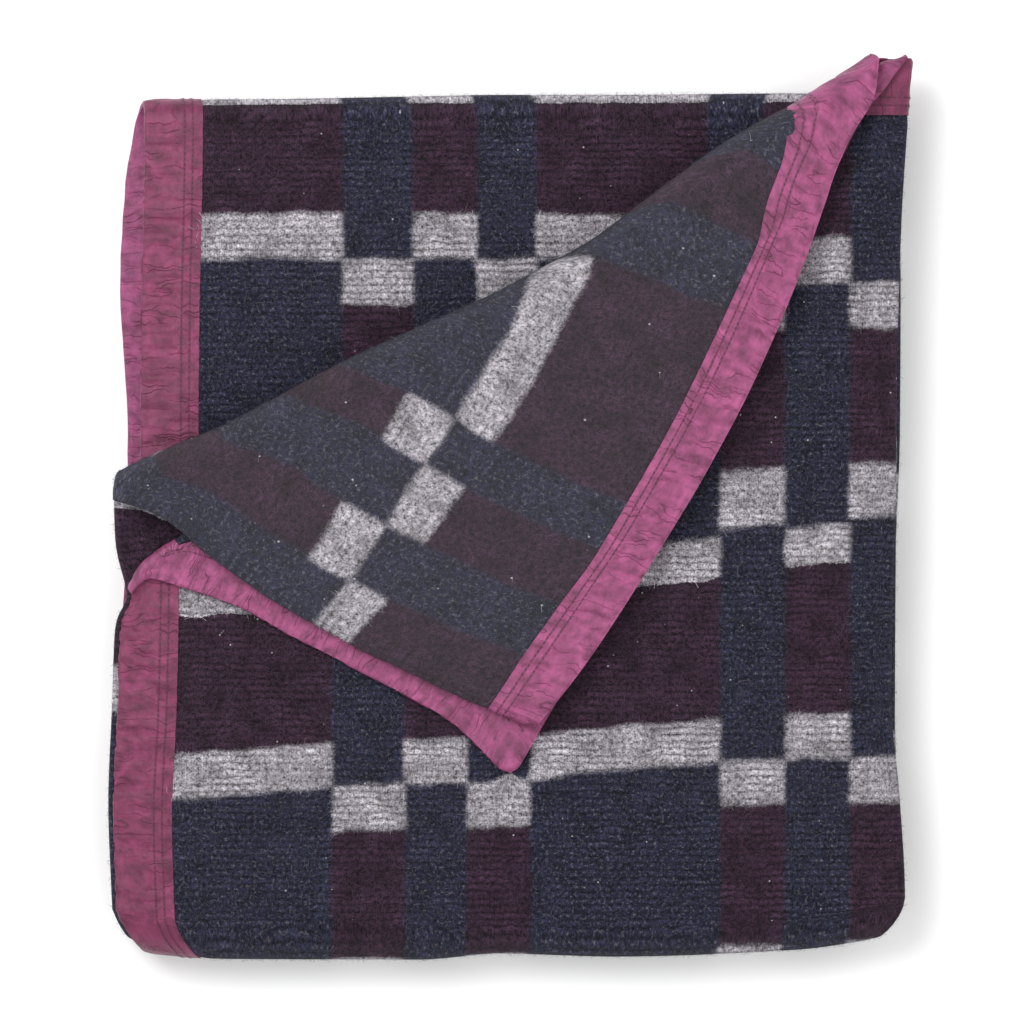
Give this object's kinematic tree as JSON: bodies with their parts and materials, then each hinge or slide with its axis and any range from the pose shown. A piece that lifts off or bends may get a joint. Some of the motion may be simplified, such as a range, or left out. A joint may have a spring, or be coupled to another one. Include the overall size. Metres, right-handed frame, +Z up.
{
  "type": "folded basotho blanket",
  "caption": "Brushed wool blanket with a block check and satin edge tape, folded to a pad with one top corner turned over.",
  "frame": {"origin": "centre of the bounding box in plan, on the surface that the folded blanket lies on", "axes": "+Z up from the surface, +Y towards the bound top edge of the upper panel, +X towards the side where the upper layer folds"},
  "size_m": [0.5348, 0.5988, 0.0655],
  "materials": {
    "cloth": "brushed wool and acrylic pile in navy, maroon and pale grey blocks",
    "edge_tape": "pink satin tape, puckered along two rows of stitches"
  },
  "bodies": {
    "root": {"cloth": "cloth", "edge_tape": "edge_tape"}
  },
  "joints": []
}
